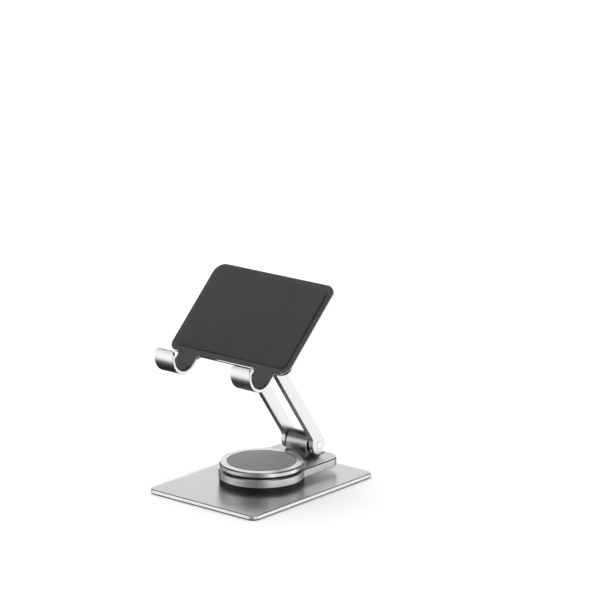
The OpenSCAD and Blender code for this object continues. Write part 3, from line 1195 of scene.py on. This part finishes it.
@dataclass
class Cradle:
    """Tilting plate with two hooks bent from one sheet, its pad, its liners and its hinge block."""

    datum: Datum
    finishes: Finishes
    thickness: float = 2.2 * MM
    width: float = 100 * MM
    # How far the plate reaches above and below the hinge axis
    up: float = 49 * MM
    down: float = 20 * MM
    corner: float = 8 * MM
    bevel: float = 0.3 * MM
    pad: float = 1.2 * MM
    pad_margin: float = 4 * MM
    rounding: float = 0.5 * MM
    hook_pitch: float = 64 * MM
    hook_width: float = 16 * MM
    hook_inner: float = 9.7 * MM
    hook_start: float = 27.1 * MM
    # Degrees that a hook curls through
    hook_wrap: float = 162
    hook_corner: float = 3 * MM
    hook_fillet: float = 2.5 * MM
    bend_steps: int = 45
    liner: float = 1.4 * MM
    liner_lift: float = 0.02 * MM
    liner_width: float = 14 * MM
    liner_corner: float = 1.5 * MM
    # Degrees round the curl at which a liner starts and ends
    liner_from: float = 8
    liner_to: float = 148
    block_half: float = 8.6 * MM
    block_radius: float = 6.5 * MM
    block_fillet: float = 1.2 * MM
    block_flange: float = 17 * MM
    block_depth: float = 3 * MM
    flange_corner: float = 0.8 * MM
    pin_bore: float = 4.5 * MM

    def build(self) -> None:
        """Makes and dresses every piece of the cradle."""
        self.make_plate()
        self.make_pad()
        for side, sign in (("left", -1), ("right", 1)):
            self.make_liner(side, sign * self.hook_pitch / 2)
        self.make_block()
        self.finishes.dress(self.datum.node("head_bushes"), "black_acetal")
        for name in ("head_clip", "block_screws"):
            self.finishes.dress(self.datum.node(name), "hub_steel")

    @property
    def front(self) -> float:
        """Distance from the hinge axis to the plate's front face."""
        return self.datum.face - self.pad

    @property
    def bend_radius(self) -> float:
        """Radius of the hooks' sheet at half its thickness."""
        return self.hook_inner + self.thickness / 2

    def unrolled(self, angle: float) -> float:
        """Place, on the flat sheet, of that many degrees round a hook's curl."""
        return -self.hook_start - self.bend_radius * math.radians(angle)

    def bend(self, mesh: bmesh.types.BMesh) -> None:
        """Cuts a flat sheet across its hooks and curls them.

        Args:
            mesh: The flat sheet, in the cradle's own frame.
        """
        curl = self.bend_radius * math.radians(self.hook_wrap)
        for i in range(self.bend_steps):
            bmesh.ops.bisect_plane(
                mesh,
                geom=mesh.verts[:] + mesh.edges[:] + mesh.faces[:],
                plane_co=(0, -self.hook_start - curl * i / self.bend_steps, 0),
                plane_no=(0, 1, 0),
                dist=CUT_TOLERANCE,
            )
        centre = self.front + self.hook_inner
        for vert in mesh.verts:
            past = -self.hook_start - vert.co.y
            if past > 0:
                angle, radius = past / self.bend_radius, centre - vert.co.z
                vert.co.y = -self.hook_start - radius * math.sin(angle)
                vert.co.z = centre - radius * math.cos(angle)
        bmesh.ops.recalc_face_normals(mesh, faces=mesh.faces)

    def make_plate(self) -> None:
        """Makes the plate and both hooks from one flat sheet."""
        tip = self.unrolled(self.hook_wrap)
        inner = self.hook_pitch / 2 - self.hook_width / 2
        side = self.hook_pitch / 2 + self.hook_width / 2
        half = self.width / 2
        # The plate's lower corner has only this much room beside the hook's fillet
        room = (half - side - self.hook_fillet) * 0.95
        right = [
            (inner, -self.down, self.hook_fillet),
            (inner, tip, self.hook_corner),
            (side, tip, self.hook_corner),
            (side, -self.down, self.hook_fillet),
            (half, -self.down, min(self.corner, room)),
            (half, self.up, self.corner),
        ]
        left = [(-x, y, radius) for x, y, radius in reversed(right)]
        outline = round_corners(right + left)
        mesh = bevelled_plate(outline, self.front - self.thickness, self.front, self.bevel)
        self.bend(mesh)
        mesh.transform(self.datum.cradle)
        piece = make_piece("hooked_plate", mesh, self.finishes.pair("blasted_aluminium"))
        install(piece, "rest", Slot.SATIN, "cradle")

    def make_pad(self) -> None:
        """Makes the silicone sheet that the tablet leans on."""
        low = Vector((-self.width / 2 + self.pad_margin, -self.down + self.pad_margin))
        high = Vector((self.width / 2 - self.pad_margin, self.up - self.pad_margin))
        outline = round_rectangle(low, high, self.corner - self.pad_margin)
        mesh = soft_sheet(outline, self.front, self.front + self.pad, self.rounding)
        mesh.transform(self.datum.cradle)
        piece = make_piece("leaning_pad", mesh, self.finishes.pair("dark_silicone"))
        install(piece, "rest", Slot.DARK_SILICONE, "rest_pad")

    def make_liner(self, side: str, middle: float) -> None:
        """Makes one hook's liner.

        Args:
            side: left or right.
            middle: The hook's place across the stand.
        """
        half = self.liner_width / 2
        low = Vector((middle - half, self.unrolled(self.liner_to)))
        high = Vector((middle + half, self.unrolled(self.liner_from)))
        outline = round_rectangle(low, high, self.liner_corner)
        foot, top = self.front + self.liner_lift, self.front + self.liner
        mesh = soft_sheet(outline, foot, top, self.rounding)
        self.bend(mesh)
        mesh.transform(self.datum.cradle)
        piece = make_piece(f"{side}_liner", mesh, self.finishes.pair("dark_silicone"))
        install(piece, "rest", Slot.DARK_SILICONE, f"hook_liner_{side}")

    def make_block(self) -> None:
        """Makes the block that joins the cradle to the arms."""
        back = self.front - self.thickness
        radius, wing = self.block_radius, self.block_flange
        lip = back - self.block_depth
        corners = [(p.x, p.y, 0.0) for p in arc(Vector((0, 0)), radius, 180, 360)]
        corners += [
            (radius, lip, self.block_fillet),
            (wing, lip, self.flange_corner),
            (wing, back, 0.0),
            (-wing, back, 0.0),
            (-wing, lip, self.flange_corner),
            (-radius, lip, self.block_fillet),
        ]
        outline, half = round_corners(corners), self.block_half
        mesh = bevelled_plate(outline, -half, half, self.bevel)
        mesh.transform(self.datum.cradle @ ACROSS)
        finishes = self.finishes.pair("blasted_aluminium")
        piece = make_piece("hinge_block", mesh, finishes)
        bore(piece, drill(self.pin_bore, half), self.datum.head, finishes)
        install(piece, "rest", Slot.SATIN, "head_block")


# ---------- studio ----------


@dataclass
class Studio:
    """Pale floor, soft light all round, and the camera."""

    aim: Vector = field(default_factory=lambda: Vector((-0.0062, 0.0434, 0.1158)))
    distance: float = 2.2
    azimuth: float = 40.05
    elevation: float = 14.84
    lens: float = 204.81
    film: float = 36
    clip: Span = (0.1, 100)
    floor_size: float = 30.0
    floor_tone: float = 0.88
    floor_roughness: float = 0.9
    overhead: float = 150.0
    overhead_size: float = 5.0
    overhead_place: Vector = field(default_factory=lambda: Vector((-0.6, 0.3, 2.6)))
    surround: float = 1.42
    # Degrees above the horizon, and how bright the surround is there
    heights: Sequence[Span] = (
        (-90, 0.02), (-42, 0.03), (-32, 0.12), (-22, 0.85), (-10, 1.0), (5, 0.92),
        (15, 0.86), (24, 0.42), (34, 0.08), (56, 0.07), (74, 0.5), (90, 0.7),
    )
    # Degrees round from the camera's side of the stand, and how bright the surround is there
    panels: Sequence[Span] = (
        (-180, 1.0), (-166, 0.9), (-152, 0.12), (-130, 0.3), (-112, 0.5), (-88, 1.0), (-62, 0.62),
        (-38, 0.3), (-14, 0.2), (8, 0.38), (28, 0.95), (50, 0.62), (75, 0.7), (100, 1.0),
        (118, 0.5), (138, 0.2), (152, 0.1), (167, 0.9), (180, 1.0),
    )

    def build(self) -> None:
        """Sets up the floor, the light and the camera."""
        self.make_floor()
        self.make_overhead()
        self.make_surround()
        self.make_camera()
        bpy.context.scene.view_settings.view_transform = "Standard"

    def make_floor(self) -> None:
        """Lays a pale floor that the stand's metal doesn't mirror."""
        mesh = bmesh.new()
        bmesh.ops.create_grid(mesh, x_segments=1, y_segments=1, size=self.floor_size / 2)
        recipe = Recipe("pale_floor")
        recipe.feed(grey(self.floor_tone), recipe.shader.inputs["Base Color"])
        recipe.feed(self.floor_roughness, recipe.shader.inputs["Roughness"])
        floor = make_piece("floor", mesh, (recipe.material,))
        floor.visible_glossy = False
        floor.visible_diffuse = False
        floor.visible_shadow = False

    def make_overhead(self) -> None:
        """Hangs a wide soft light above, which the metal doesn't mirror."""
        data = bpy.data.lights.new("overhead", "AREA")
        data.shape = "DISK"
        data.size = self.overhead_size
        data.energy = self.overhead
        light = bpy.data.objects.new("overhead", data)
        light.location = self.overhead_place
        light.rotation_euler = light.location.to_track_quat("Z", "Y").to_euler()
        light.visible_glossy = False
        light.visible_camera = False
        bpy.context.scene.collection.objects.link(light)

    def make_surround(self) -> None:
        """Surrounds the stand with soft upright panels, dark below and above, lit from the top."""
        world = bpy.data.worlds.new("studio")
        bpy.context.scene.world = world
        world.use_nodes = True
        tree = world.node_tree
        turn = tree.nodes.new("ShaderNodeVectorRotate")
        turn.rotation_type = "Z_AXIS"
        turn.inputs["Angle"].default_value = -math.radians(self.azimuth)
        place = tree.nodes.new("ShaderNodeTexCoord").outputs["Generated"]
        tree.links.new(place, turn.inputs["Vector"])
        split = tree.nodes.new("ShaderNodeSeparateXYZ")
        tree.links.new(turn.outputs["Vector"], split.inputs[0])
        height = self.world_maths(tree, "ARCSINE", split.outputs["Z"])
        forward = self.world_maths(tree, "MULTIPLY", split.outputs["Y"], -1.0)
        around = self.world_maths(tree, "ARCTAN2", split.outputs["X"], forward)
        upward = self.world_ramp(tree, height, 90, self.heights)
        sideways = self.world_ramp(tree, around, 180, self.panels)
        shine = self.world_maths(tree, "MULTIPLY", upward, sideways)
        strength = self.world_maths(tree, "MULTIPLY", shine, self.surround)
        light, backdrop = tree.nodes["Background"], tree.nodes.new("ShaderNodeBackground")
        tree.links.new(strength, light.inputs["Strength"])
        light.inputs["Color"].default_value = grey(1.0)
        backdrop.inputs["Color"].default_value = grey(1.0)
        seen = tree.nodes.new("ShaderNodeMixShader")
        direct = tree.nodes.new("ShaderNodeLightPath").outputs["Is Camera Ray"]
        tree.links.new(direct, seen.inputs[0])
        tree.links.new(light.outputs[0], seen.inputs[1])
        tree.links.new(backdrop.outputs[0], seen.inputs[2])
        tree.links.new(seen.outputs[0], tree.nodes["World Output"].inputs["Surface"])

    def world_maths(
        self,
        tree: bpy.types.NodeTree,
        operation: str,
        first: bpy.types.NodeSocket,
        second: object = 0.0,
    ) -> bpy.types.NodeSocket:
        """Result of one sum in the surround's graph.

        Args:
            tree: The surround's graph.
            operation: The sum.
            first: Its first output.
            second: Its second output or number.

        Returns:
            The sum's output.
        """
        node = tree.nodes.new("ShaderNodeMath")
        node.operation = operation
        tree.links.new(first, node.inputs[0])
        if isinstance(second, bpy.types.NodeSocket):
            tree.links.new(second, node.inputs[1])
        else:
            node.inputs[1].default_value = second
        return node.outputs[0]

    def world_ramp(
        self,
        tree: bpy.types.NodeTree,
        angle: bpy.types.NodeSocket,
        reach: float,
        stops: Sequence[Span],
    ) -> bpy.types.NodeSocket:
        """Brightness along an angle.

        Args:
            tree: The surround's graph.
            angle: The angle, in radians.
            reach: The largest angle either way, in degrees.
            stops: (angle in degrees, brightness) of each stop.

        Returns:
            The brightness.
        """
        share = tree.nodes.new("ShaderNodeMapRange")
        tree.links.new(angle, share.inputs["Value"])
        share.inputs["From Min"].default_value = -math.radians(reach)
        share.inputs["From Max"].default_value = math.radians(reach)
        node = tree.nodes.new("ShaderNodeValToRGB")
        node.color_ramp.interpolation = "EASE"
        elements = node.color_ramp.elements
        for place, _ in stops[1:-1]:
            elements.new((place + reach) / (2 * reach))
        for element, (_, level) in zip(elements, stops):
            element.color = grey(level)
        tree.links.new(share.outputs["Result"], node.inputs["Fac"])
        return node.outputs["Color"]

    def make_camera(self) -> None:
        """Stands the camera off its aim, at its azimuth and elevation."""
        around, above = math.radians(self.azimuth), math.radians(self.elevation)
        level = math.cos(above)
        back = Vector((math.sin(around) * level, -math.cos(around) * level, math.sin(above)))
        data = bpy.data.cameras.new("camera")
        data.sensor_width = self.film
        data.lens = self.lens
        data.clip_start, data.clip_end = self.clip
        camera = bpy.data.objects.new("camera", data)
        camera.location = self.aim + back * self.distance
        camera.rotation_euler = (math.pi / 2 - above, 0, around)
        bpy.context.scene.collection.objects.link(camera)
        bpy.context.scene.camera = camera


def main() -> None:
    """Builds the stand round its frame."""
    logging.basicConfig(level=logging.INFO, format="%(message)s")
    datum = Datum(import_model())
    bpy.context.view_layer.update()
    finishes = Finishes(datum)
    Studio().build()
    for assembly in (Base, Turntable, Arms, Cradle):
        assembly(datum, finishes).build()
    bpy.context.view_layer.update()


if __name__ == "__main__":
    main()
